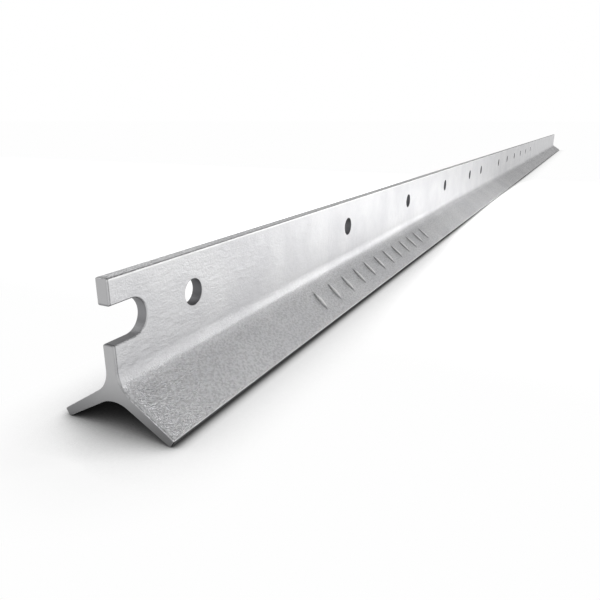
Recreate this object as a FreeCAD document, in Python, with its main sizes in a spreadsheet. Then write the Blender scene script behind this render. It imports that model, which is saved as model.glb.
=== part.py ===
import FreeCAD, Part
import math
import os
import Sketcher
from FreeCAD import Placement, Rotation, Vector

# Hot-rolled Y-section fence post, galvanised, lying on the tips of its two short flanges.
# X runs along the post with the notched head at -X, and Z is up, along the long web.
# The origin is on the ground under the middle of the post.

doc = FreeCAD.newDocument("fence_post")

# Driving dimensions, in millimetres and degrees
dimensions = [
    ("PostLength", 1650, "both ends sheared square"),
    ("OverallHeight", 41.75, "flange tips to the free edge of the web"),
    ("FlangeSpread", 37.6, "across the two flange tips"),
    ("WebThickness", 3.6, "long upright leg"),
    ("TipThickness", 2.3, "each flange, square across its tip"),
    ("TopSlope", 33, "upper face of a flange against the ground"),
    ("UnderSlope", 29, "lower face, less steep, so a flange thickens to its root"),
    ("RootRadius", 8, "fillet rolled between web and flange"),
    ("ArchRadius", 9, "round top of the arch under the post"),
    ("EdgeRadius", 0.65, "corners of the rolled section"),
    ("ZincRadius", 0.6, "cut edges of the ends and the notch, rounded by the zinc"),
    ("NotchWidth", 10.6, "open notch in the head, for the top wire"),
    ("NotchDepth", 12.9, "head end to the round bottom of the notch"),
    ("NotchDrop", 12.15, "free edge of the web to the middle of the notch"),
    ("HoleDiameter", 8, "punched wire holes"),
    ("HoleDrop", 12.25, "free edge of the web to the line of holes"),
    ("HeadInset", 33, "head end to the first hole"),
    ("HeadGap", 120, "first hole to the upper row"),
    ("UpperPitch", 100, "spacing in the upper row"),
    ("UpperCount", 4, "holes in the upper row"),
    ("MiddleGap", 60, "upper row to the single middle hole"),
    ("LowerGap", 120, "middle hole to the lower row"),
    ("LowerPitch", 75, "spacing in the lower row"),
    ("LowerCount", 6, "holes in the lower row"),
    ("LugInset", 104, "head end to the first rolled lug"),
    ("LugPitch", 14.5, "spacing of the lugs"),
    ("LugCount", 12, "lugs in the row, on one flange only"),
    ("LugLength", 14.4, "point to point, the points being under the surface"),
    ("LugRadius", 1.5, "round of a lug at its middle"),
    ("LugSink", 0.6, "axis of a lug below the face of the flange"),
    ("LugRise", 10.3, "flange tip to the middle of a lug, along the slope"),
    ("LugLean", 18, "lean of a lug from square across the flange"),
]
sheet = doc.addObject("Spreadsheet::Sheet", "Dimensions")
for line, (alias, value, meaning) in enumerate(dimensions, start=1):
    sheet.set(f"A{line}", alias)
    sheet.set(f"B{line}", str(value))
    sheet.set(f"C{line}", meaning)
    sheet.setAlias(f"B{line}", alias)
doc.recompute()

post = doc.addObject("PartDesign::Body", "fence_post")
post.Label = "fence_post"
datum = {feature.Role: feature for feature in post.Origin.OriginFeatures}
START, END, CENTRE = 1, 2, 3
ORIGIN, UPRIGHT_AXIS = (-1, 1), -2


def size(formula):
    """The present value of a formula over the sheet."""
    return float(post.evalExpression(formula))


def bind(feature, formulas):
    for path, formula in formulas.items():
        feature.setExpression(path, formula)


def new_sketch(name, plane, offset=Placement(), formulas=None):
    """A sketch on one of the body's own planes, with its offset driven by formulas."""
    sketch = post.newObject("Sketcher::SketchObject", name)
    sketch.AttachmentSupport = [(datum[plane], "")]
    sketch.MapMode = "FlatFace"
    sketch.AttachmentOffset = offset
    bind(sketch, formulas or {})
    doc.recompute()
    return sketch


def relate(sketch, kind, *groups):
    """The same geometric constraint on each group of picks."""
    for picks in groups:
        sketch.addConstraint(Sketcher.Constraint(kind, *picks))


def drive(sketch, name, formula, kind, *picks):
    """A driving dimension, bound to its formula."""
    value = math.radians(size(formula)) if kind == "Angle" else size(formula)
    index = sketch.addConstraint(Sketcher.Constraint(kind, *picks, value))
    sketch.renameConstraint(index, name)
    sketch.setExpression(f"Constraints.{name}", formula)


def polar(angle, length=1.0):
    turn = math.radians(angle)
    return Vector(length * math.cos(turn), length * math.sin(turn), 0)


def arc(centre, radius, first, last):
    circle = Part.Circle(centre, Vector(0, 0, 1), radius)
    return Part.ArcOfCircle(circle, math.radians(first), math.radians(last))


def finish(feature):
    """Makes a feature the last one of the body and works it out."""
    post.Tip = feature
    doc.recompute()
    return feature


def row(name, feature, pitch, count):
    """Repeats a feature along the post."""
    pattern = post.newObject("PartDesign::LinearPattern", name)
    pattern.Originals = [feature]
    pattern.Direction = (datum["X_Axis"], [""])
    pattern.Mode = "Spacing"
    bind(pattern, {"Offset": pitch, "Occurrences": count})
    return finish(pattern)


def punch(name, sketch):
    """Cuts a sketch through the web, from both of its sides, and makes sure that it bites."""
    before = post.Tip.Shape.Volume
    cut = post.newObject("PartDesign::Pocket", name)
    cut.Profile = sketch
    cut.SideType = "Symmetric"
    bind(cut, {"Length": "2 * Dimensions.WebThickness"})
    finish(cut)
    if cut.Shape.Volume >= before:
        raise RuntimeError(f"{name} cuts nothing")
    return cut


# Half of the rolled section, on the side that carries the lugs: x is across the post and y is
# up. The upper face of the flange slopes by top, and its lower face by under.
top, under = size("Dimensions.TopSlope"), size("Dimensions.UnderSlope")
edge, root, arch = (size(f"Dimensions.{name}Radius") for name in ("Edge", "Root", "Arch"))
height, side = size("Dimensions.OverallHeight"), -size("Dimensions.WebThickness / 2")
across_tip = polar(top - 90, size("Dimensions.TipThickness") - 2 * edge)
tip_top = Vector(edge - size("Dimensions.FlangeSpread / 2"), edge - across_tip.y, 0)
tip_bottom = tip_top + across_tip
face_start = tip_top + polar(top + 90, edge)
below_start = tip_bottom + polar(under - 90, edge)
corner = Vector(side + edge, height - edge, 0)
root_centre = Vector(
    side - root,
    face_start.y + (side - root - face_start.x) * math.tan(math.radians(top))
    + root / math.cos(math.radians(top)),
    0,
)
arch_centre = Vector(
    0,
    below_start.y - below_start.x * math.tan(math.radians(under)) - arch / math.cos(math.radians(under)),
    0,
)
outline = [
    Part.LineSegment(Vector(0, height, 0), Vector(corner.x, height, 0)),
    arc(corner, edge, 90, 180),
    Part.LineSegment(Vector(side, corner.y, 0), Vector(side, root_centre.y, 0)),
    arc(root_centre, root, top - 90, 0),
    Part.LineSegment(face_start, root_centre + polar(top - 90, root)),
    arc(tip_top, edge, top + 90, top + 180),
    Part.LineSegment(tip_top + polar(top + 180, edge), tip_bottom + polar(top + 180, edge)),
    arc(tip_bottom, edge, top + 180, under + 270),
    Part.LineSegment(below_start, arch_centre + polar(under + 90, arch)),
    arc(arch_centre, arch, 90, under + 90),
    Part.LineSegment(arch_centre + polar(90, arch), Vector(0, height, 0)),
]
free_edge, web_corner, web_side, fillet, upper_face, tip_top_round = range(6)
tip_face, tip_bottom_round, lower_face, arch_round, middle = range(6, 11)

section = new_sketch("HalfSection", "YZ_Plane")
section.addGeometry(outline, False)
relate(
    section, "Tangent",
    (free_edge, END, web_corner, START),
    (web_corner, END, web_side, START),
    (web_side, END, fillet, END),
    (upper_face, END, fillet, START),
    (upper_face, START, tip_top_round, START),
    (tip_top_round, END, tip_face, START),
    (tip_face, END, tip_bottom_round, START),
    (tip_bottom_round, END, lower_face, START),
    (lower_face, END, arch_round, END),
)
relate(section, "Coincident", (arch_round, START, middle, START), (middle, END, free_edge, START))
relate(
    section, "PointOnObject",
    (middle, START, UPRIGHT_AXIS), (middle, END, UPRIGHT_AXIS), (arch_round, CENTRE, UPRIGHT_AXIS),
)
relate(section, "Horizontal", (free_edge,))
relate(section, "Vertical", (web_side,))
relate(section, "Perpendicular", (upper_face, tip_face))
relate(section, "Equal", (web_corner, tip_top_round), (web_corner, tip_bottom_round))
drive(section, "Height", "Dimensions.OverallHeight", "DistanceY", *ORIGIN, free_edge, START)
drive(section, "HalfWeb", "Dimensions.WebThickness / 2", "DistanceX", web_side, START, *ORIGIN)
drive(section, "Corner", "Dimensions.EdgeRadius", "Radius", web_corner)
drive(section, "Root", "Dimensions.RootRadius", "Radius", fillet)
drive(section, "Arch", "Dimensions.ArchRadius", "Radius", arch_round)
drive(section, "Upper", "Dimensions.TopSlope", "Angle", upper_face)
drive(section, "Lower", "Dimensions.UnderSlope", "Angle", lower_face)
drive(
    section, "HalfSpread", "Dimensions.FlangeSpread / 2 - Dimensions.EdgeRadius",
    "DistanceX", tip_top_round, CENTRE, *ORIGIN,
)
drive(section, "Ground", "Dimensions.EdgeRadius", "DistanceY", *ORIGIN, tip_bottom_round, CENTRE)
drive(
    section, "Tip", "Dimensions.TipThickness - 2 * Dimensions.EdgeRadius",
    "Distance", tip_top_round, CENTRE, tip_bottom_round, CENTRE,
)

rolled_half = post.newObject("PartDesign::Pad", "RolledHalf")
rolled_half.Profile = section
rolled_half.SideType = "Symmetric"
bind(rolled_half, {"Length": "Dimensions.PostLength"})
finish(rolled_half)

rolled_section = post.newObject("PartDesign::Mirrored", "RolledSection")
rolled_section.Originals = [rolled_half]
rolled_section.MirrorPlane = (datum["XZ_Plane"], [""])
finish(rolled_section)

# A lug is a slim spindle that lies in the flange with its axis just under the upper face.
# The sketch plane is that face, sunk to the axis, with the middle of the lug as its origin.
up_the_slope = "(Dimensions.LugRise - Dimensions.EdgeRadius)"
off_the_face = "(Dimensions.EdgeRadius - Dimensions.LugSink)"
lug_profile = new_sketch(
    "LugProfile", "XY_Plane", Placement(Vector(), Rotation(Vector(1, 0, 0), top)),
    {
        ".AttachmentOffset.Rotation.Angle": "Dimensions.TopSlope",
        ".AttachmentOffset.Base.x": "Dimensions.LugInset - Dimensions.PostLength / 2",
        ".AttachmentOffset.Base.y": "Dimensions.EdgeRadius - Dimensions.FlangeSpread / 2"
        f" + {up_the_slope} * cos(Dimensions.TopSlope) - {off_the_face} * sin(Dimensions.TopSlope)",
        ".AttachmentOffset.Base.z": "Dimensions.EdgeRadius"
        " + (Dimensions.TipThickness - 2 * Dimensions.EdgeRadius) * cos(Dimensions.TopSlope)"
        f" + {up_the_slope} * sin(Dimensions.TopSlope) + {off_the_face} * cos(Dimensions.TopSlope)",
    },
)
lean, lug_half, bulge = (size(f"Dimensions.{name}") for name in ("LugLean", "LugLength / 2", "LugRadius"))
spindle = "(Dimensions.LugLength ^ 2 / 4 + Dimensions.LugRadius ^ 2) / (2 * Dimensions.LugRadius)"
sweep = math.degrees(math.asin(lug_half / size(spindle)))
lug_end = polar(90 - lean, lug_half)
lug_axis, lug_round, lug_chord = range(3)
lug_profile.addGeometry(Part.LineSegment(lug_end * -1, lug_end), True)
lug_profile.addGeometry([
    arc(polar(-lean, bulge - size(spindle)), size(spindle), -lean - sweep, -lean + sweep),
    Part.LineSegment(lug_end * -1, lug_end),
], False)
relate(lug_profile, "Symmetric", (lug_axis, START, lug_axis, END, *ORIGIN))
relate(
    lug_profile, "Coincident",
    (lug_round, START, lug_axis, START), (lug_round, END, lug_axis, END),
    (lug_chord, START, lug_axis, START), (lug_chord, END, lug_axis, END),
)
drive(lug_profile, "Lean", "90 - Dimensions.LugLean", "Angle", lug_axis)
drive(lug_profile, "Length", "Dimensions.LugLength", "Distance", lug_axis)
drive(lug_profile, "Round", spindle, "Radius", lug_round)

lug = post.newObject("PartDesign::Revolution", "Lug")
lug.Profile = lug_profile
lug.ReferenceAxis = (lug_profile, ["Axis0"])
lug.Angle = 360
finish(lug)
row("LugRow", lug, "Dimensions.LugPitch", "Dimensions.LugCount")

# Everything punched in the web is measured from the head end and down from the free edge
from_head = {".AttachmentOffset.Base.x": "-Dimensions.PostLength / 2"}

notch_shape = new_sketch("NotchShape", "XZ_Plane", formulas=from_head)
mouth, notch_radius = -size("Dimensions.WebThickness"), size("Dimensions.NotchWidth / 2")
notch_centre = Vector(
    size("Dimensions.NotchDepth - Dimensions.NotchWidth / 2"),
    size("Dimensions.OverallHeight - Dimensions.NotchDrop"),
    0,
)
upper_lip, lower_lip = notch_centre.y + notch_radius, notch_centre.y - notch_radius
notch_shape.addGeometry([
    Part.LineSegment(Vector(mouth, lower_lip, 0), Vector(notch_centre.x, lower_lip, 0)),
    arc(notch_centre, notch_radius, -90, 90),
    Part.LineSegment(Vector(notch_centre.x, upper_lip, 0), Vector(mouth, upper_lip, 0)),
    Part.LineSegment(Vector(mouth, upper_lip, 0), Vector(mouth, lower_lip, 0)),
], False)
notch_floor, notch_round, notch_roof, notch_mouth = range(4)
relate(
    notch_shape, "Tangent",
    (notch_floor, END, notch_round, START), (notch_round, END, notch_roof, START),
)
relate(
    notch_shape, "Coincident",
    (notch_roof, END, notch_mouth, START), (notch_mouth, END, notch_floor, START),
)
relate(notch_shape, "Horizontal", (notch_floor,), (notch_roof,))
relate(notch_shape, "Vertical", (notch_mouth,))
drive(notch_shape, "Overrun", "Dimensions.WebThickness", "DistanceX", notch_mouth, START, *ORIGIN)
drive(
    notch_shape, "Reach", "Dimensions.NotchDepth - Dimensions.NotchWidth / 2",
    "DistanceX", *ORIGIN, notch_round, CENTRE,
)
drive(
    notch_shape, "Level", "Dimensions.OverallHeight - Dimensions.NotchDrop",
    "DistanceY", *ORIGIN, notch_round, CENTRE,
)
drive(notch_shape, "Round", "Dimensions.NotchWidth / 2", "Radius", notch_round)
notch = punch("WireNotch", notch_shape)

# The zinc rounds the edges of the two sheared faces and those of the notch
half_length, half_web = size("Dimensions.PostLength / 2"), size("Dimensions.WebThickness / 2")
notch_bottom = size("Dimensions.NotchDepth") - half_length


def lies_at(line, axis, place):
    """Both ends of an edge are at the place along the axis."""
    return all(abs(getattr(point, axis) - place) < 1e-6 for point in line.Vertexes)


def is_cut(line):
    box = line.BoundBox
    sheared = lies_at(line, "X", -half_length) or lies_at(line, "X", half_length)
    rim = lies_at(line, "Y", -half_web) or lies_at(line, "Y", half_web)
    return sheared or (rim and box.XMax < notch_bottom + half_web)


cut_edges = [f"Edge{number}" for number, line in enumerate(notch.Shape.Edges, start=1) if is_cut(line)]
soft_edges = post.newObject("PartDesign::Fillet", "SoftEdges")
soft_edges.Base = (notch, cut_edges)
bind(soft_edges, {"Radius": "min(Dimensions.ZincRadius; 0.95 * Dimensions.EdgeRadius)"})
finish(soft_edges)


def wire_hole(name, inset):
    """One round hole in the web, its middle at the inset from the head end."""
    level = "Dimensions.OverallHeight - Dimensions.HoleDrop"
    circle = new_sketch(f"{name}Circle", "XZ_Plane", formulas=from_head)
    middle_of_hole = Vector(size(inset), size(level), 0)
    circle.addGeometry(Part.Circle(middle_of_hole, Vector(0, 0, 1), size("Dimensions.HoleDiameter / 2")))
    drive(circle, "Inset", inset, "DistanceX", *ORIGIN, 0, CENTRE)
    drive(circle, "Level", level, "DistanceY", *ORIGIN, 0, CENTRE)
    drive(circle, "Bore", "Dimensions.HoleDiameter", "Diameter", 0)
    return punch(name, circle)


head = "Dimensions.HeadInset"
upper = f"{head} + Dimensions.HeadGap"
middle_one = f"{upper} + (Dimensions.UpperCount - 1) * Dimensions.UpperPitch + Dimensions.MiddleGap"
lower = f"{middle_one} + Dimensions.LowerGap"
wire_hole("HeadHole", head)
wire_hole("MiddleHole", middle_one)
row("UpperRow", wire_hole("UpperHole", upper), "Dimensions.UpperPitch", "Dimensions.UpperCount")
row("LowerRow", wire_hole("LowerHole", lower), "Dimensions.LowerPitch", "Dimensions.LowerCount")

for item in doc.Objects:
    if "Invalid" in item.State or "Error" in item.State:
        raise RuntimeError(f"{item.Name} failed: {item.State}")
if post.Shape.isNull() or not post.Shape.isValid() or len(post.Shape.Solids) != 1:
    raise RuntimeError("the post is not one valid solid")

os.makedirs("parts", exist_ok=True)
post.Shape.exportStep("parts/fence_post.step")
box = post.Shape.BoundBox
print(f"fence_post {box.XLength:.2f} x {box.YLength:.2f} x {box.ZLength:.2f} mm")
print(f"volume {post.Shape.Volume / 1000:.1f} cm3, faces {len(post.Shape.Faces)}")
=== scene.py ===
import bmesh
import bpy
import numpy as np
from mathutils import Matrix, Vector


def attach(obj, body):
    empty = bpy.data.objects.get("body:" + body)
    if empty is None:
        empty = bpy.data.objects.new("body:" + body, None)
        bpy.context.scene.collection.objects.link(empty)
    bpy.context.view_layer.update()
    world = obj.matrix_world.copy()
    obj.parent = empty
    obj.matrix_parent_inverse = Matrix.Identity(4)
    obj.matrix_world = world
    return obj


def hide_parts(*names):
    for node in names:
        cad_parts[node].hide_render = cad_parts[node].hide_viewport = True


# One galvanised steel fence post of Y section, lying on the tips of its two short flanges.
# Shapes are worked out in millimetres, in the frame of the CAD model: x along the post from the
# notched head, y across it, z up. They turn to metres where the mesh is made.

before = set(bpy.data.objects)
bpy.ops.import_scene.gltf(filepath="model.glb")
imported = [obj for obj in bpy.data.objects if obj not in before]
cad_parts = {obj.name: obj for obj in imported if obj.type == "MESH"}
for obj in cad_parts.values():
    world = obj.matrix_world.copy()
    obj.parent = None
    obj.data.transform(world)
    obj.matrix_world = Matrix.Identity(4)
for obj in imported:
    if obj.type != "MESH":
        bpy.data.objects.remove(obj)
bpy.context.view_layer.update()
print("frame loaded:", sorted(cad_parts))

mm = 0.001

post = {
    "length": 1650.0,
    "height": 41.75,        # flange tips to the free edge of the web
    "spread": 37.6,         # across the two flange tips
    "web": 3.6,             # thickness of the upright leg
    "tip": 2.6,             # thickness of a flange at its tip
    "topSlope": 32.2,       # degrees, upper face of a flange
    "underSlope": 29.0,     # degrees, lower face
    "rootRadius": 8.0,
    "archRadius": 9.0,
    "edgeRadius": 0.40,     # corners of the rolled section
    "endLength": 0.60,      # sheared ends, rounded by the zinc: so far along the post
    "endInset": 0.20,       # and so far in, less than the corners of the section
    "bandTop": 36.0,        # the band of the web in which everything is punched
    "bandBottom": 23.0,
    "edgeSteps": 2,         # divisions of half the free edge, and of the face between lugs and tip
    "cornerSteps": 6,       # of a corner, and of half the arch
    "webSteps": 3,          # of the web above and below the band
    "rootSteps": 18,
    "underSteps": 4,
    "endSteps": 6,          # of the rounding at each end
    "step": 11.0,           # longest division along the plain stretches
}
notch = {
    "width": 10.3,
    "depth": 12.9,          # head end to the round bottom
    "level": 29.45,         # height of its middle line
    "rim": 0.5,
    "reach": 17.0,          # the patch of web around it ends here
    "straightSteps": 6,
    "roundSteps": 16,
}
holes = {
    "insets": [33, 153, 253, 353, 453, 513, 633, 708, 783, 858, 933, 1008],   # from the head end
    "level": 29.5,
    "radius": 4.0,
    "rim": 0.2,             # zinc over the punched edge
    "cell": 6.5,            # half of the square patch of web around a hole
    "steps": 14,
}
lugs = {
    "first": 104.0,         # from the head end
    "pitch": 14.5,
    "count": 12,
    "halfLength": 7.2,
    "radius": 1.5,          # round of a lug at its middle
    "sink": 0.6,            # its axis lies this far under the face
    "rise": 9.65,           # up the slope, from the start of the flat face to the middle of the lug
    "lean": 18.0,           # degrees from square across the flange
    "fillet": 0.30,         # how softly it runs into the face
    "patchStart": 3.2,      # up the slope, where the patches of the lugs begin
    "steps": 11,            # divisions along and across a patch
    "rings": [0.0, 0.4, 0.75, 1.0, 1.14, 1.24, 1.32, 1.4, 1.5, 1.64, 1.85],   # half widths of its rings
    "lengthening": 0.5,     # what a ring gains in half length for each mm of half width
    "outerRings": [0.35, 1.0],      # the last ones, as shares of the way out to the border of the patch
    "tallest": 1.4,         # above any point of a lug, where the halving starts
    "halvings": 34,
}


def polar(degrees, length=1.0):
    # the point at that angle and distance: length times the cosine, length times the sine
    turn = np.radians(degrees)
    return np.stack([length * np.cos(turn), length * np.sin(turn)], -1)


def straightRun(first, last, steps, outward):
    # first plus t times the way to last, with t even from 0 to 1; all the points face one way
    t = np.linspace(0, 1, steps + 1)[:, None]
    return np.asarray(first) + t * (np.asarray(last) - first), np.tile(outward, (steps + 1, 1))


def roundRun(centre, radius, first, last, steps, side=1):
    # centre plus radius times the unit vector, which is also the outward one, or with side -1 its opposite
    ray = polar(np.linspace(first, last, steps + 1))
    return np.asarray(centre) + radius * ray, side * ray


def sectionOutline(p):
    # The whole outline of the section as (y, z) points with outward normals, and the index at which
    # each run of the first half starts. Half of it is straight runs and arcs that meet tangentially,
    # from the middle of the free edge down the side with the lugs to the top of the arch. Last come
    # the start of the flat face of the flange at its tip, the way up its slope, and its normal.
    top, under, r = p["topSlope"], p["underSlope"], p["edgeRadius"]
    side = -p["web"] / 2
    acrossTip = polar(top - 90, p["tip"] - 2 * r)
    tipTop = np.array([r - p["spread"] / 2, r - acrossTip[1]])
    tipBottom = tipTop + acrossTip
    faceStart = tipTop + polar(top + 90, r)
    belowStart = tipBottom + polar(under - 90, r)
    corner = np.array([side + r, p["height"] - r])
    tanTop, tanUnder = np.tan(np.radians([top, under]))
    rootAcross = side - p["rootRadius"]
    rootUp = faceStart[1] + (rootAcross - faceStart[0]) * tanTop + p["rootRadius"] / np.cos(np.radians(top))
    root = np.array([rootAcross, rootUp])
    archUp = belowStart[1] - belowStart[0] * tanUnder - p["archRadius"] / np.cos(np.radians(under))
    arch = np.array([0, archUp])
    archStart = arch + polar(under + 90, p["archRadius"])
    faceEnd = root + polar(top - 90, p["rootRadius"])
    slope = polar(top)
    patchStart = faceStart + lugs["patchStart"] * slope
    web, face, tip = np.array([-1.0, 0]), polar(top + 90), polar(top + 180)
    runs = {
        "free edge": straightRun([0, p["height"]], [corner[0], p["height"]], p["edgeSteps"], [0, 1]),
        "web corner": roundRun(corner, r, 90, 180, p["cornerSteps"]),
        "web above": straightRun([side, corner[1]], [side, p["bandTop"]], p["webSteps"], web),
        "web band": straightRun([side, p["bandTop"]], [side, p["bandBottom"]], holes["steps"], web),
        "web below": straightRun([side, p["bandBottom"]], [side, root[1]], p["webSteps"], web),
        "root": roundRun(root, p["rootRadius"], 0, top - 90, p["rootSteps"], -1),
        "face": straightRun(faceEnd, patchStart, lugs["steps"], face),
        "face start": straightRun(patchStart, faceStart, p["edgeSteps"], face),
        "tip top": roundRun(tipTop, r, top + 90, top + 180, p["cornerSteps"]),
        "tip": straightRun(tipTop + r * tip, tipBottom + r * tip, 1, tip),
        "tip bottom": roundRun(tipBottom, r, top + 180, under + 270, p["cornerSteps"]),
        "under": straightRun(belowStart, archStart, p["underSteps"], polar(under + 270)),
        "arch": roundRun(arch, p["archRadius"], under + 90, 90, p["cornerSteps"], -1),
    }
    starts, points, normals, count = {}, [[[0, p["height"]]]], [[[0, 1]]], 0
    for name, (run, outward) in runs.items():
        starts[name] = count
        points.append(run[1:])
        normals.append(outward[1:])
        count += len(run) - 1
    points, normals = np.concatenate(points), np.concatenate(normals)
    mirror = np.array([-1, 1])
    points = np.concatenate([points, (points * mirror)[-2::-1]])
    normals = np.concatenate([normals, (normals * mirror)[-2::-1]])
    return points, normals, starts, faceStart, slope, face


def spaced(first, last, longest):
    # even places from first to last, in the fewest steps that are no longer than longest
    return np.linspace(first, last, max(1, int(np.ceil((last - first) / longest))) + 1)


def stationsAlong(p, slack=1e-6):
    # Places along the post as insets from the head end, closer where a hole, the notch or a lug needs
    # them, each with its angle on the elliptic end rounding: 90 degrees at an end face, 0 between the
    # ends. slack keeps a rounding error from adding a step to the stretch of the lugs.
    turn = np.linspace(90, 0, p["endSteps"] + 1)
    ending = p["endLength"] * (1 - np.sin(np.radians(turn)))
    straight = notch["depth"] - notch["width"] / 2
    lugStart = lugs["first"] - lugs["pitch"] / 2
    lugEnd = lugStart + lugs["pitch"] * lugs["count"]
    places = [ending, np.linspace(p["endLength"], straight, notch["straightSteps"] + 1)[1:],
              np.linspace(straight, notch["reach"], notch["roundSteps"] + 1)[1:]]
    reached = notch["reach"]
    stretches = [(inset - holes["cell"], inset + holes["cell"], 2 * holes["cell"] / holes["steps"])
                 for inset in holes["insets"] if not lugStart < inset < lugEnd]
    stretches.append((lugStart, lugEnd, lugs["pitch"] / lugs["steps"] + slack))
    footStart = p["length"] - p["endLength"]
    stretches.append((footStart, footStart, p["step"]))
    for first, last, longest in sorted(stretches):
        places.append(spaced(reached, first, p["step"])[1:])
        if last > first:
            places.append(spaced(first, last, longest)[1:])
        reached = last
    places.append((p["length"] - ending[::-1])[1:])
    places = np.concatenate(places)
    rounding = np.zeros(len(places))
    rounding[:len(turn)] = -turn
    rounding[-len(turn):] = turn[::-1]
    return places, np.radians(rounding)


def around(array2, i0, i1, j0, j1, closed=True):
    # the border of the block i0..i1, j0..j1 of an array, one way round; open leaves out the side i0
    parts = [array2[i0:i1, j0], array2[i1, j0:j1], array2[i1:i0:-1, j1]]
    if closed:
        parts += [array2[i0, j1:j0:-1], array2[i0:i0 + 1, j0]]
    else:
        parts.append(array2[i0:i0 + 1, j1])
    return np.concatenate(parts)


class MeshParts:
    # collects grids of points with their normals, and the quads between them

    def __init__(self):
        self.points, self.normals, self.quads, self.count = [], [], [], 0

    def addGrid(self, points, normals, keep=None):
        # a quad joins each point of the grid with the next one along and across, where keep is true
        rows, columns = points.shape[:2]
        corner = self.count + np.arange(rows - 1)[:, None] * columns + np.arange(columns - 1)
        quads = np.stack([corner, corner + 1, corner + columns + 1, corner + columns], -1)
        self.quads.append(quads[keep] if keep is not None else quads.reshape(-1, 4))
        self.points.append(points.reshape(-1, 3))
        self.normals.append(normals.reshape(-1, 3))
        self.count += rows * columns


def punchedPatch(border, wall, inward, rim, tilt, inset, p, rings=4, rimSteps=5):
    # The web around a punched shape, as a profile carried round it: from the border of the patch over
    # the face, round the rim by a quarter circle, through the web and the same way back on the other
    # side. wall is the shape itself and inward points into the opening. Where the shape runs out at
    # the head, inset draws the profile in along its normal and tilt leans the normal to the end.
    half = p["web"] / 2
    share = np.linspace(0, 1, rings + 1)[:, None, None]
    flat = border + share * (wall - rim * inward - border)
    turn = np.radians(np.linspace(0, 90, rimSteps + 1))[1:, None, None]
    bend = wall - rim * (1 - np.sin(turn)) * inward
    places = np.concatenate([flat, bend, wall[None], bend[::-1], flat[::-1]])
    onFace, onBend = np.zeros(rings + 1), turn.ravel()
    turns = np.concatenate([onFace, onBend, [np.pi / 2], onBend[::-1], onFace])
    each = len(onFace) + len(onBend)
    side = np.repeat([-1.0, 0.0, 1.0], [each, 1, each])
    across = side * (half - rim * (1 - np.cos(turns)))
    facing = np.zeros(places.shape[:2] + (3,))
    facing[..., 0] = np.sin(turns)[:, None] * inward[:, 0]
    facing[..., 1] = (side * np.cos(turns))[:, None]
    facing[..., 2] = np.sin(turns)[:, None] * inward[:, 1]
    points = np.stack([places[..., 0], np.broadcast_to(across[:, None], places.shape[:2]), places[..., 1]], -1)
    points = points - inset[None, :, None] * facing
    normals = facing * np.cos(tilt)[None, :, None]
    normals[..., 0] += np.sin(tilt)
    return points, normals


def lugPatch(border, middle, faceStart, slope, face, flat=1e-6):
    # One lug on its patch of flange. Rings of ellipses, then of shapes between the last ellipse and the
    # border, lie in the face; each point is raised to the smooth union of the face and a spindle,
    # where a spindle's radius is that of a big circle less its sagitta. The height comes by halving,
    # and one less than flat counts as none.
    lean = np.radians(lugs["lean"])
    along, across = np.array([np.sin(lean), np.cos(lean)]), np.array([np.cos(lean), -np.sin(lean)])
    t, d = (border - middle) @ along, (border - middle) @ across
    big = (lugs["halfLength"] ** 2 + lugs["radius"] ** 2) / (2 * lugs["radius"])
    halfFoot = np.sqrt(big ** 2 - (big - lugs["radius"] + lugs["sink"]) ** 2)
    width = np.array(lugs["rings"])[:, None]
    footWidth = np.sqrt(lugs["radius"] ** 2 - lugs["sink"] ** 2)
    length = halfFoot + lugs["lengthening"] * (width - footWidth)
    step = 2 * np.pi / (len(border) - 1)
    angle = np.unwrap(np.arctan2(d, t))
    turn = np.sign(angle[-1] - angle[0]) * step * np.arange(len(border))
    angle = turn + step * np.round(np.mean(angle - turn) / step)     # even, so that the two sides of the crest meet
    ringT, ringD = length * np.cos(angle), width * np.sin(angle)
    share = np.array(lugs["outerRings"])[:, None]
    ringT = np.concatenate([ringT, ringT[-1] + share * (t - ringT[-1])])
    ringD = np.concatenate([ringD, ringD[-1] + share * (d - ringD[-1])])
    radius = np.sqrt(np.maximum(big ** 2 - ringT ** 2, 0)) - (big - lugs["radius"])

    def distances(height):
        # How far outside the spindle a point is, and the share of the spindle in the union: a half plus
        # the difference between the two distances over twice the fillet, kept between 0 and 1.
        toSpindle = np.sqrt(ringD ** 2 + (height + lugs["sink"]) ** 2) - radius
        mix = np.clip(0.5 + (height - toSpindle) / (2 * lugs["fillet"]), 0, 1)
        return toSpindle, mix

    low, high = np.zeros_like(ringT), np.full_like(ringT, lugs["tallest"])
    for _ in range(lugs["halvings"]):
        height = (low + high) / 2
        toSpindle, mix = distances(height)
        outside = height + mix * (toSpindle - height) - lugs["fillet"] * mix * (1 - mix) > 0
        low, high = np.where(outside, low, height), np.where(outside, height, high)
    height = np.where(high < flat, 0, high)
    height[-1] = 0
    toSpindle, mix = distances(height)
    reach = toSpindle + radius
    spindleSlope = ringT / np.sqrt(np.maximum(big ** 2 - ringT ** 2, flat))
    normalT, normalD = mix * spindleSlope, mix * ringD / reach
    normalUp = (1 - mix) + mix * (height + lugs["sink"]) / reach
    place = middle + ringT[..., None] * along + ringD[..., None] * across
    leaning = normalT[..., None] * along + normalD[..., None] * across
    inSection = faceStart + place[..., 1:] * slope + height[..., None] * face
    points = np.concatenate([place[..., :1], inSection], -1)
    normals = np.concatenate([leaning[..., :1], leaning[..., 1:] * slope + normalUp[..., None] * face], -1)
    return points, normals / np.linalg.norm(normals, axis=-1, keepdims=True)


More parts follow.
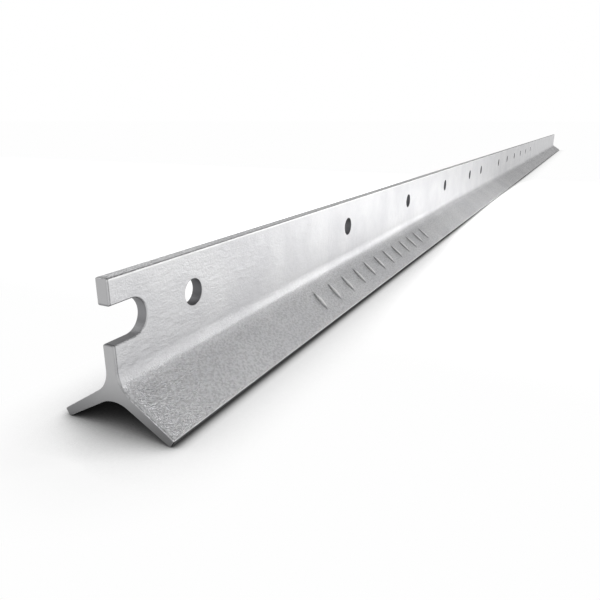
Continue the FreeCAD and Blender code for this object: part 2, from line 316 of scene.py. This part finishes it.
def makePost(p):
    # The rolled bar is the outline carried along the stations. At the ends it is drawn in along its
    # normals by a quarter ellipse. Blocks of its grid are left out and filled with patches.
    outline, outward, starts, faceStart, slope, face = sectionOutline(p)
    stations, rounding = stationsAlong(p)
    inset = p["endInset"] * (1 - np.cos(rounding))
    tilt = np.arctan2(p["endInset"] * np.sin(rounding), p["endLength"] * np.cos(rounding))
    x = stations - p["length"] / 2
    grid = np.empty((len(x), len(outline), 3))
    grid[..., 0] = x[:, None]
    grid[..., 1:] = outline - inset[:, None, None] * outward
    normals = np.empty_like(grid)
    normals[..., 0] = np.sin(tilt)[:, None]
    normals[..., 1:] = outward * np.cos(tilt)[:, None, None]
    keep = np.ones((len(x) - 1, len(outline) - 1), bool)
    top, bottom = starts["web band"], starts["web below"]
    last = len(outline) - 1
    parts = MeshParts()

    def nearest(place):
        # the station with the smallest distance from that inset
        return int(np.argmin(np.abs(stations - place)))

    # The notch: two straight lips joined by a half circle
    flatGrid = np.stack(np.meshgrid(x, outline[:, 1], indexing="ij"), -1)
    end = nearest(notch["reach"])
    bend = nearest(notch["depth"] - notch["width"] / 2)
    border = around(flatGrid, 0, end, top, bottom, closed=False)
    stationOf = np.arange(len(x))[:, None] * np.ones(len(outline), int)
    index = around(stationOf, 0, end, top, bottom, closed=False)
    centre = np.array([x[bend], notch["level"]])
    fromCentre = border - centre
    onLip = fromCentre[:, 0] < 0
    ray = polar(np.degrees(np.arctan2(fromCentre[:, 1], np.maximum(fromCentre[:, 0], 0))))
    wall = centre + notch["width"] / 2 * ray
    wall[:, 0] = np.where(onLip, border[:, 0], wall[:, 0])
    leaning, drawnIn = np.where(onLip, tilt[index], 0), np.where(onLip, inset[index], 0)
    parts.addGrid(*punchedPatch(border, wall, -ray, notch["rim"], leaning, drawnIn, p))
    keep[:end, top:bottom] = False
    keep[:end, last - bottom:last - top] = False

    # The punched holes
    for place in holes["insets"]:
        first, past = nearest(place - holes["cell"]), nearest(place + holes["cell"])
        border = around(flatGrid, first, past, top, bottom)
        centre = np.array([place - p["length"] / 2, holes["level"]])
        angle = np.unwrap(np.arctan2(*(border - centre).T[::-1]))
        ray = polar(np.degrees(angle))
        still = np.zeros(len(border))
        parts.addGrid(*punchedPatch(border, centre + holes["radius"] * ray, -ray, holes["rim"], still, still, p))
        keep[first:past, top:bottom] = False
        keep[first:past, last - bottom:last - top] = False

    # The lugs, on one flange only
    high, low = starts["face"], starts["face start"]
    faceGrid = np.stack(np.meshgrid(x, (outline - faceStart) @ slope, indexing="ij"), -1)
    for number in range(lugs["count"]):
        place = lugs["first"] + number * lugs["pitch"]
        first, past = nearest(place - lugs["pitch"] / 2), nearest(place + lugs["pitch"] / 2)
        border = around(faceGrid, first, past, high, low)
        middle = np.array([place - p["length"] / 2, lugs["rise"]])
        parts.addGrid(*lugPatch(border, middle, faceStart, slope, face))
        keep[first:past, high:low] = False

    parts.addGrid(grid, normals, keep)
    return parts


def buildPiece(name, parts, merge=1e-6):
    # One closed mesh: the doubles of neighbouring patches are merged, the open ends are closed with
    # flat faces, and each point keeps its worked-out normal.
    mesh = bpy.data.meshes.new(name)
    points = np.concatenate(parts.points) * mm
    quads = np.concatenate(parts.quads)
    mesh.vertices.add(len(points))
    mesh.vertices.foreach_set("co", points.astype(np.float32).ravel())
    mesh.loops.add(quads.size)
    mesh.loops.foreach_set("vertex_index", quads.astype(np.int32).ravel())
    mesh.polygons.add(len(quads))
    mesh.polygons.foreach_set("loop_start", np.arange(0, quads.size, 4, dtype=np.int32))
    outward = mesh.attributes.new("outward", "FLOAT_VECTOR", "POINT")
    outward.data.foreach_set("vector", np.concatenate(parts.normals).astype(np.float32).ravel())
    mesh.update(calc_edges=True)
    work = bmesh.new()
    work.from_mesh(mesh)
    bmesh.ops.remove_doubles(work, verts=work.verts, dist=merge)
    bmesh.ops.dissolve_degenerate(work, edges=work.edges, dist=merge / 10)
    bmesh.ops.delete(work, geom=[v for v in work.verts if not v.link_faces], context="VERTS")
    openEdges = [e for e in work.edges if e.is_boundary]
    caps = bmesh.ops.holes_fill(work, edges=openEdges, sides=0)["faces"]
    print("open edges", len(openEdges), "caps", [len(f.verts) for f in caps])
    bmesh.ops.triangulate(work, faces=caps)
    bmesh.ops.recalc_face_normals(work, faces=work.faces)
    print("left open:", sum(not e.is_manifold for e in work.edges))
    work.to_mesh(mesh)
    work.free()
    mesh.polygons.foreach_set("use_smooth", np.ones(len(mesh.polygons), bool))
    normals = np.zeros(len(mesh.vertices) * 3, np.float32)
    mesh.attributes["outward"].data.foreach_get("vector", normals)
    mesh.attributes.remove(mesh.attributes["outward"])
    mesh.normals_split_custom_set_from_vertices(normals.reshape(-1, 3))
    piece = bpy.data.objects.new(name, mesh)
    bpy.context.scene.collection.objects.link(piece)
    return piece


postPiece = buildPiece("galvanised_post", makePost(post))
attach(postPiece, "root")
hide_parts("fence_post")
postPiece.data.calc_loop_triangles()
print("post built:", len(postPiece.data.vertices), "points,", len(postPiece.data.loop_triangles), "triangles")


def linearColour(hexCode):
    # An sRGB hex value turned linear: up to 0.04045 a channel over 12.92, above it the channel plus
    # 0.055, over 1.055, to the power 2.4.
    channels = np.array([int(hexCode[i:i + 2], 16) for i in (1, 3, 5)]) / 255
    linear = np.where(channels <= 0.04045, channels / 12.92, ((channels + 0.055) / 1.055) ** 2.4)
    return (*linear.tolist(), 1.0)


black = linearColour("#000000")


def addNode(tree, kind, inputs=None, out=0, **settings):
    # one node with its settings; each input takes a value or another node's output, and the output
    # called out is given back
    node = tree.nodes.new("ShaderNode" + kind)
    for name, value in settings.items():
        setattr(node, name, value)
    for name, value in (inputs or {}).items():
        if isinstance(value, bpy.types.NodeSocket):
            tree.links.new(value, node.inputs[name])
        else:
            node.inputs[name].default_value = value
    return node.outputs[out] if len(node.outputs) else None


def newMaterial(name):
    # an empty material with its node tree
    material = bpy.data.materials.new(name)
    material.use_nodes = True
    material.node_tree.nodes.clear()
    return material, material.node_tree


zinc = {
    "light": "#d6d6d7",
    "dark": "#cdcdcf",
    "cutLight": "#b4b4b5",      # sheared ends, where the coat is thinner
    "cutShadedLow": "#858586",       # the same low down on the flanges, darker by painted shade toward the floor
    "boreShade": "#6e6e70",          # walls of the punched holes, dark with painted shade
    "notchWallShade": "#8e8e90",           # wall of the notch, less dark with painted shade as it is open
    "paintedHighlight": "#ececec",          # painted highlight: a thin bright strip beside a corner or on a crest
    "rimShadeKeeps": 0.76,          # share of its colour that the rounded rim of a sheared end keeps under painted shade
    "lineShadeKeeps": 0.62,         # the same for the thin line of painted shade along a corner
    "lugAndTipShadeKeeps": 0.55,        # the same for the painted shade on the flanks of the lugs and the faces of the flange tips
    "tipShadeWeight": 1.7,            # how much more of that painted shade lies on the faces of the flange tips
    "tipShadeMetallic": 0.15,        # painted shade too: the faces of the flange tips are made far less metallic, so they render dark
    "lineAt": 0.82436,          # metres from the middle of the post to the painted shade line beside a sheared end
    "cutRoughness": 0.5,
    "cutRelief": 0.12,          # share of the relief that is left on sheared and punched faces
    "edgeTint": 0.85,           # share of the grazing shine that a weathered coat keeps
    # Noise patterns: size in mm, detail and roughness. Those under 1 mm are drawn coarser than real to show.
    "noise": {
        "clouds": (16.0, 3.0, 0.6),     # patches of thicker zinc
        "lumps": (2.1, 2.0, 0.5),       # slow unevenness of the coat
        "streaks": (0.7, 2.0, 0.7),     # marks of the rolls, drawn out along the post
        "flecks": (0.5, 2.0, 0.6),      # small dull flecks of the weathered coat
        "pits": (0.36, 1.0, 0.5),       # finer unevenness between the pebbles
    },
    "lumpShare": 0.6,           # noise at this scale over a size has lumps about as wide as that size
    "pebble": 0.48,             # mm between the pebbles of scale under the coat, coarser than real too
    "streakRatio": 0.45,        # width of a streak over its length
    "pebbleHeight": 0.42,       # relief, in mm
    "pitHeight": 0.34,
    "lumpHeight": 0.22,
    "streakHeight": 0.22,
    # Soft masks: what each goes by, where it starts and where it is full, and its first and last value
    # if they are not 0 and 1. Facing goes up to 1, a place is in metres.
    "softMasks": {
        "onEnd": ("facingEnd", 0.75, 0.97),             # faces of the sheared ends
        "offFace": ("facingEnd", 0.999, 0.97),
        "flank": ("facingEnd", 0.15, 0.45),             # sides of the lugs
        "atEnd": ("fromMiddle", 0.8242, 0.8245),
        "dressed": ("fromMiddle", 0.8225, 0.8238, 1.0, 0.3),    # less grain just before an end
        "besideEnd": ("fromLine", 0.00022, 0.00008),
        "onWeb": ("facingSide", 0.85, 0.99),
        "onFlange": ("facingUp", 0.3, 0.8, 0.12, 1.0),
        "aboveLip": ("z", 0.0238, 0.0243),              # the band of the punched openings
        "belowLip": ("z", 0.0354, 0.0349),
        "through": ("facingSide", 0.7, 0.2),            # walls that run through the web
        "overFace": ("aboveFace", 0.00035, 0.00065),    # upper part of the lugs
        "overhung": ("upward", -0.15, -0.4),            # faces of the flange tips
        "outer": ("facingSide", 0.6, 0.75),
        "slanted": ("slant", 0.2, 0.42),                # round of a corner
        "atTop": ("z", 0.0408, 0.0411),
        "facingDown": ("upward", -0.15, -0.5),          # rim under the lower lip of an opening
        "overEdge": ("facingSide", 0.15, 0.4),
        "besideTop": ("z", 0.0408, 0.0412),             # strips of painted highlight at the free edge and above the tips
        "flatSide": ("facingSide", 0.90, 0.98),
        "steep": ("upward", 0.66, 0.45),
        "notUnder": ("upward", -0.2, 0.1),
        "thicker": ("clouds", 0.3, 0.7),
        "flecked": ("flecks", 0.40, 0.64, 0.0, 0.24),   # up to the share of its light that a fleck loses
        "endShadeFade": ("z", 0.001, 0.017),                   # painted shade: a sheared end darker downwards, toward the floor
        "byHead": ("x", -0.80, -0.72, 1.0, 0.3),        # rougher web near the head
    },
    # the same with straight slopes
    "straightMasks": {
        "belowRoot": ("y", -0.0056, -0.0060),
        "nearGround": ("z", 0.0040, 0.0035),
        "aboveArms": ("z", 0.012, 0.017),
        "belowFinger": ("z", 0.0360, 0.0355),
        "offEnd": ("facingEnd", 0.6, 0.2),
        "pastNotch": ("x", -0.8115, -0.8105),
        "satin": ("clouds", 0.3, 0.7, 0.44, 0.38),      # roughness of dark and of light zinc
    },
    # places on the post, each the product or the highest of masks above it
    "places": {
        # "rim" and "punched" keep to the sheared and punched edges, "cut" is all that was cut
        "rim": ("MULTIPLY", "atEnd", "offFace"),
        "punched": ("MULTIPLY", "aboveLip", "belowLip", "through"),
        "cut": ("MAXIMUM", "onEnd", "punched"),
        "onLugs": ("MULTIPLY", "pastStart", "beforeEnd", "belowRoot"),
        "crest": ("MULTIPLY", "overFace", "onLugs"),
        "lugFlank": ("MULTIPLY", "flank", "onLugs"),
        "tipFace": ("MULTIPLY", "overhung", "outer", "nearGround"),
        # painted shade lines lie along the corners, painted highlights beside them
        "endLine": ("MULTIPLY", "besideEnd", "aboveArms"),
        "topLine": ("MULTIPLY", "slanted", "atTop"),
        "lipLine": ("MULTIPLY", "facingDown", "overEdge", "belowFinger", "aboveLip"),
        "shadeLine": ("MAXIMUM", "endLine", "topLine", "lipLine"),
        "topHighlight": ("MULTIPLY", "flatSide", "besideTop"),
        "tipHighlight": ("MULTIPLY", "steep", "notUnder", "nearGround"),
        "anyHighlight": ("MAXIMUM", "topHighlight", "tipHighlight", "crest"),
        "paintedHighlight": ("MULTIPLY", "anyHighlight", "offEnd"),
        # where the relief and the flecks show
        "grained": ("MULTIPLY", "onFlange", "dressed"),
        "streaked": ("MULTIPLY", "onWeb", "byHead"),
        "dull": ("MULTIPLY", "flecked", "onFlange"),
    },
}


def hotDipZinc(look):
    # Hot-dip galvanised hot-rolled steel: a satin grey metal with no clear reflections. The eye gets a
    # pebbled grain on the flanges, fine streaks along the rolled web, faint clouds where the coat is
    # thicker, and plainer, duller grey on the sheared ends and in the punched openings. Painted shade
    # darkens the ends downwards, the walls of the openings, the rims and thin lines by corners, the
    # flanks of the lugs and the faces of the flange tips; painted highlights lighten strips by the
    # edges and the crests of the lugs.
    material, tree = newMaterial("hot dip galvanised rolled steel, satin")
    place = addNode(tree, "TexCoord", out="Object")
    facing = addNode(tree, "SeparateXYZ", {0: place.node.outputs["Normal"]}).node.outputs
    where = addNode(tree, "SeparateXYZ", {0: place}).node.outputs

    # noise and pebbles
    drawnOut = addNode(tree, "Mapping", {"Vector": place, "Scale": (look["streakRatio"], 1, 1)})
    noise = {}
    for name, (size, detail, rough) in look["noise"].items():
        noise[name] = addNode(tree, "TexNoise", {
            "Vector": drawnOut if name == "streaks" else place, "Scale": look["lumpShare"] / (size * mm),
            "Detail": detail, "Roughness": rough})
    pebbles = addNode(tree, "TexVoronoi", {"Vector": place, "Scale": 1 / (look["pebble"] * mm)})

    # What the masks go by. The height above the flange face is a point's product with the normal of
    # the face, less the same for a point of the face.
    goesBy = {"upward": facing["Z"], "x": where["X"], "y": where["Y"], "z": where["Z"], **noise}
    signed = {"facingEnd": facing["X"], "facingSide": facing["Y"], "facingUp": facing["Z"], "fromMiddle": where["X"]}
    for name, value in signed.items():
        goesBy[name] = addNode(tree, "Math", {0: value}, operation="ABSOLUTE")
    goesBy["slant"] = addNode(tree, "Math", {0: goesBy["facingSide"], 1: goesBy["facingUp"]}, operation="MULTIPLY")
    fromLine = addNode(tree, "Math", {0: goesBy["fromMiddle"], 1: look["lineAt"]}, operation="SUBTRACT")
    goesBy["fromLine"] = addNode(tree, "Math", {0: fromLine}, operation="ABSOLUTE")
    faceStart, _, face = sectionOutline(post)[3:]
    level = addNode(tree, "VectorMath", {0: place, 1: (0, *face)}, "Value", operation="DOT_PRODUCT")
    goesBy["aboveFace"] = addNode(tree, "Math", {0: level, 1: float(faceStart @ face) * mm}, operation="SUBTRACT")

    # the masks, and the places made of them
    masks = {}
    for table, curve in (("softMasks", "SMOOTHSTEP"), ("straightMasks", "LINEAR")):
        for name, (measure, *stops) in look[table].items():
            masks[name] = addNode(tree, "MapRange", {0: goesBy[measure], **dict(enumerate(stops, 1))},
                                  interpolation_type=curve)
    lugStart = (lugs["first"] - lugs["pitch"] - post["length"] / 2) * mm
    lugEnd = lugStart + (lugs["count"] + 1) * lugs["pitch"] * mm
    masks["pastStart"] = addNode(tree, "Math", {0: where["X"], 1: lugStart}, operation="GREATER_THAN")
    masks["beforeEnd"] = addNode(tree, "Math", {0: where["X"], 1: lugEnd}, operation="LESS_THAN")
    for name, (operation, first, *others) in look["places"].items():
        masks[name] = masks[first]
        for other in others:
            masks[name] = addNode(tree, "Math", {0: masks[name], 1: masks[other]}, operation=operation)

    # painted shade, darker, on the flanks of the lugs and on the faces of the flange tips
    offCrest = addNode(tree, "Math", {0: 1.0, 1: masks["crest"]}, operation="SUBTRACT")
    lugAndTipShade = addNode(tree, "Math", {0: masks["lugFlank"], 1: offCrest}, operation="MULTIPLY")
    tipShade = addNode(tree, "Math", {0: masks["tipFace"], 1: look["tipShadeWeight"]}, operation="MULTIPLY")
    lugAndTipShade = addNode(tree, "Math", {0: lugAndTipShade, 1: tipShade}, operation="MAXIMUM")

    # painted shade: how much of the colour is taken, summed over the masks: each mask times one less what is left
    # under it
    paintedShade = 0.0
    for mask, left in ((masks["rim"], "rimShadeKeeps"), (masks["shadeLine"], "lineShadeKeeps"), (lugAndTipShade, "lugAndTipShadeKeeps")):
        paintedShade = addNode(tree, "Math", {0: mask, 1: 1 - look[left], 2: paintedShade}, operation="MULTIPLY_ADD")

    # Colour: the coat with its clouds, flecks and painted highlights, then the sheared faces with
    # their painted shade low down, the punched walls, darker by painted shade, and the painted shade
    # of rims, lines, lug flanks and flange tips.
    pairs = {"coat": ("thicker", "dark", "light"), "sheared": ("endShadeFade", "cutShadedLow", "cutLight"),
             "wall": ("pastNotch", "notchWallShade", "boreShade")}
    tones = {name: addNode(tree, "Mix", {0: masks[mask], 6: linearColour(look[first]), 7: linearColour(look[last])}, 2,
                           data_type="RGBA") for name, (mask, first, last) in pairs.items()}
    tone = tones["coat"]
    for share, over in ((masks["dull"], black), (masks["paintedHighlight"], linearColour(look["paintedHighlight"])),
                        (masks["onEnd"], tones["sheared"]), (masks["punched"], tones["wall"]), (paintedShade, black)):
        tone = addNode(tree, "Mix", {0: share, 6: tone, 7: over}, 2, data_type="RGBA")
    roughness = addNode(tree, "Mix", {0: masks["cut"], 2: masks["satin"], 3: look["cutRoughness"]})
    # painted shade: the faces of the flange tips shine much less than the zinc
    metallic = addNode(tree, "MapRange", {0: masks["tipFace"], 1: 0.0, 2: 1.0, 3: 1.0, 4: look["tipShadeMetallic"]})

    # relief in mm: pebbles on the flanges, streaks on the web, lumps all over, little of it on cut faces
    grain = addNode(tree, "Math", {0: noise["pits"], 1: look["pitHeight"]}, operation="MULTIPLY")
    grain = addNode(tree, "Math", {0: pebbles, 1: -look["pebbleHeight"], 2: grain}, operation="MULTIPLY_ADD")
    grain = addNode(tree, "Math", {0: grain, 1: masks["grained"]}, operation="MULTIPLY")
    drawn = addNode(tree, "Math", {0: noise["streaks"], 1: look["streakHeight"]}, operation="MULTIPLY")
    relief = addNode(tree, "Math", {0: noise["lumps"], 1: look["lumpHeight"], 2: grain}, operation="MULTIPLY_ADD")
    relief = addNode(tree, "Math", {0: drawn, 1: masks["streaked"], 2: relief}, operation="MULTIPLY_ADD")
    uncut = addNode(tree, "MapRange", {0: masks["cut"], 1: 0.0, 2: 1.0, 3: 1.0, 4: look["cutRelief"]})
    relief = addNode(tree, "Math", {0: relief, 1: uncut}, operation="MULTIPLY")
    bump = addNode(tree, "Bump", {"Height": relief, "Strength": 1.0, "Distance": mm})
    tint = look["edgeTint"]
    shader = addNode(tree, "BsdfPrincipled", {
        "Base Color": tone, "Metallic": metallic, "Roughness": roughness, "Specular Tint": (tint, tint, tint, 1),
        "Normal": bump})
    addNode(tree, "OutputMaterial", {"Surface": shader})
    return material


postPiece.data.materials.append(hotDipZinc(zinc))
print("zinc painted")

studio = {
    "paper": "#fefefe",
    "halfSheet": 60.0,      # metres, half the width of the sheet of paper
    "contact": 0.018,       # metres, reach of the painted contact shadow around the post
    "contactPower": 2.0,
    "contactSamples": 12,
    "glow": 0.46,           # share of the paper by the post that glows evenly, with its painted shadow, instead of being lit by the lamps
    "fade": (0.019, 0.042),         # metres from the middle line of the post, where that share grows to the whole
    "farHalf": (-0.6, 0.1),         # metres along, where the fade moves closer, as the view gets flat there
    "farSooner": 4.0,               # and how many times closer it gets
    "paintedPool": 0.62,          # painted light: how much more diffuse colour the paper past the fade gets where the pool of light falls
    "spillStart": (-0.76, -0.52),   # metres along, where that begins
    "spillEnd": (-0.35, -0.05),     # and where it ends
    "horizon": 1.0,
    "zenith": 0.35,
    "lowAngle": 0.20,       # sine of the elevation up to which the room is as bright as the horizon
    "highAngle": 0.50,
}


def paperMaterial(look):
    # Matt white studio paper, plain. Near the post it partly glows, with a painted shadow from ambient
    # occlusion that deepens where the post stands on it, and a painted pool of light where the pool spot
    # falls; further out it is pure white. How far a point is from the post is the length of how far it
    # lies past an end and to the side.
    material, tree = newMaterial("matt white studio paper")
    place = addNode(tree, "TexCoord", out="Object")
    on = addNode(tree, "SeparateXYZ", {0: place}).node.outputs
    near = addNode(tree, "AmbientOcclusion", {"Distance": look["contact"]}, "AO", samples=look["contactSamples"])
    paintedContactShade = addNode(tree, "Math", {0: near, 1: look["contactPower"]}, operation="POWER")
    tone = addNode(tree, "Mix", {0: paintedContactShade, 6: black, 7: linearColour(look["paper"])}, 2, data_type="RGBA")
    matt = addNode(tree, "BsdfDiffuse", {"Color": tone})
    # the paper glows evenly, with the painted contact shadow in its colour
    white = addNode(tree, "Emission", {"Color": tone, "Strength": 1.0})
    pastEnd = addNode(tree, "Math", {0: on["X"]}, operation="ABSOLUTE")
    pastEnd = addNode(tree, "Math", {0: pastEnd, 1: post["length"] / 2 * mm}, operation="SUBTRACT")
    pastEnd = addNode(tree, "Math", {0: pastEnd, 1: 0.0}, operation="MAXIMUM")
    away = addNode(tree, "CombineXYZ", {"X": pastEnd, "Y": on["Y"]})
    away = addNode(tree, "VectorMath", {0: away}, "Value", operation="LENGTH")
    alongPost = {"sooner": ("farHalf", 1.0, look["farSooner"]), "begun": ("spillStart", 0.0, 1.0),
                 "goesOn": ("spillEnd", 1.0, 0.0)}
    masks = {}
    for name, (stretch, first, last) in alongPost.items():
        start, end = look[stretch]
        masks[name] = addNode(tree, "MapRange", {0: on["X"], 1: start, 2: end, 3: first, 4: last},
                              interpolation_type="SMOOTHSTEP")
    away = addNode(tree, "Math", {0: away, 1: masks["sooner"]}, operation="MULTIPLY")
    start, end = look["fade"]
    fade = addNode(tree, "MapRange", {0: away, 1: start, 2: end, 3: look["glow"], 4: 1.0},
                   interpolation_type="SMOOTHSTEP")
    sheet = addNode(tree, "MixShader", {0: fade, 1: matt, 2: white})
    # painted light: extra diffuse colour on the paper where the pool spot falls
    paintedPool = addNode(tree, "MapRange", {0: fade, 1: look["glow"], 2: 1.0, 3: 0.0, 4: look["paintedPool"]})
    paintedPool = addNode(tree, "Math", {0: paintedPool, 1: masks["goesOn"]}, operation="MULTIPLY")
    paintedPool = addNode(tree, "Math", {0: paintedPool, 1: masks["begun"]}, operation="MULTIPLY")
    sheet = addNode(tree, "AddShader", {0: sheet, 1: addNode(tree, "BsdfDiffuse", {"Color": paintedPool})})
    addNode(tree, "OutputMaterial", {"Surface": sheet})
    return material


floorMesh = bpy.data.meshes.new("floor")
half = studio["halfSheet"]
floorMesh.from_pydata([(-half, -half, 0), (half, -half, 0), (half, half, 0), (-half, half, 0)], [], [(0, 1, 2, 3)])
floor = bpy.data.objects.new("floor", floorMesh)
bpy.context.scene.collection.objects.link(floor)
floor.data.materials.append(paperMaterial(studio))

world = bpy.data.worlds.new("studio")
bpy.context.scene.world = world
world.use_nodes = True
world.node_tree.nodes.clear()
direction = addNode(world.node_tree, "TexCoord", out="Generated")
upward = addNode(world.node_tree, "SeparateXYZ", {"Vector": direction}, "Z")
level = addNode(world.node_tree, "MapRange", {
    0: upward, 1: studio["lowAngle"], 2: studio["highAngle"], 3: studio["horizon"], 4: studio["zenith"]},
    interpolation_type="SMOOTHSTEP")
background = addNode(world.node_tree, "Background", {"Color": (1, 1, 1, 1), "Strength": level})
addNode(world.node_tree, "OutputWorld", {"Surface": background})

# Metres, watts and degrees. The pool falls on the paper that the web mirrors, the low spots graze the
# web and the root of the flange, and the head spots light the near end of the flange.
softboxes = {
    "overhead softbox": {"place": (-1.3, 0, 2.0), "target": (-0.4, 0, 0), "size": (1.8, 1.8), "watts": 21},
    "left softbox": {"place": (-0.9, 1.6, 1.2), "target": (-0.7, 0, 0), "size": (1.4, 0.8), "watts": 6},
}
spots = {
    "pool on the paper": {"place": (-0.9, -0.95, 0.9), "target": (-0.40, -0.16, 0), "cone": 20, "watts": 82},
    "long low spot": {"place": (1.55, -0.85, 0.1), "target": (-0.64, 0, 0.03), "cone": 9, "watts": 3.4},
    "short low spot": {"place": (1.43, -1.10, 0.1), "target": (-0.67, 0, 0.03), "cone": 6, "watts": 2},
    "high head spot": {"place": (0.75, -0.6, 1.45), "target": (-0.80, 0, 0.012), "cone": 6, "watts": 4},
    "head spot": {"place": (0.75, -0.95, 0.70), "target": (-0.75, 0, 0.015), "cone": 9, "watts": 12},
}
spotRadius = 0.05       # metres, which softens the shadows


def aimed(thing, place, way):
    # the thing put in its place, looking along way, and linked to the scene
    thing.location = place
    thing.rotation_euler = Vector(way).to_track_quat("-Z", "Y").to_euler()
    bpy.context.scene.collection.objects.link(thing)


def addLamp(name, kind, lamp, **settings):
    # a lamp that faces its target and that the camera doesn't see; way is target less place
    light = bpy.data.objects.new(name, bpy.data.lights.new(name, kind))
    light.data.energy = lamp["watts"]
    for setting, value in settings.items():
        setattr(light.data, setting, value)
    light.visible_camera = False
    aimed(light, lamp["place"], Vector(lamp["target"]) - Vector(lamp["place"]))


for name, lamp in softboxes.items():
    addLamp(name, "AREA", lamp, shape="RECTANGLE", size=lamp["size"][0], size_y=lamp["size"][1])
for name, lamp in spots.items():
    addLamp(name, "SPOT", lamp, spot_size=np.radians(lamp["cone"]), spot_blend=1.0, shadow_soft_size=spotRadius)
print("studio lit")

view = {
    "sensor": 36,           # mm
    "lens": 33.213,         # mm
    "place": (-0.9173, -0.10111, 0.07775),
    "yaw": 0.47206,         # radians from the x axis
    "pitch": -0.31326,      # radians, downwards
    "closest": 0.005,       # metres, what it sees
    "furthest": 200,
}
camera = bpy.data.objects.new("camera", bpy.data.cameras.new("camera"))
camera.data.sensor_width, camera.data.lens = view["sensor"], view["lens"]
camera.data.clip_start, camera.data.clip_end = view["closest"], view["furthest"]
overFloor = np.cos(view["pitch"])
way = (np.cos(view["yaw"]) * overFloor, np.sin(view["yaw"]) * overFloor, np.sin(view["pitch"]))
aimed(camera, view["place"], way)
bpy.context.scene.camera = camera
bpy.context.scene.view_settings.view_transform = "Standard"
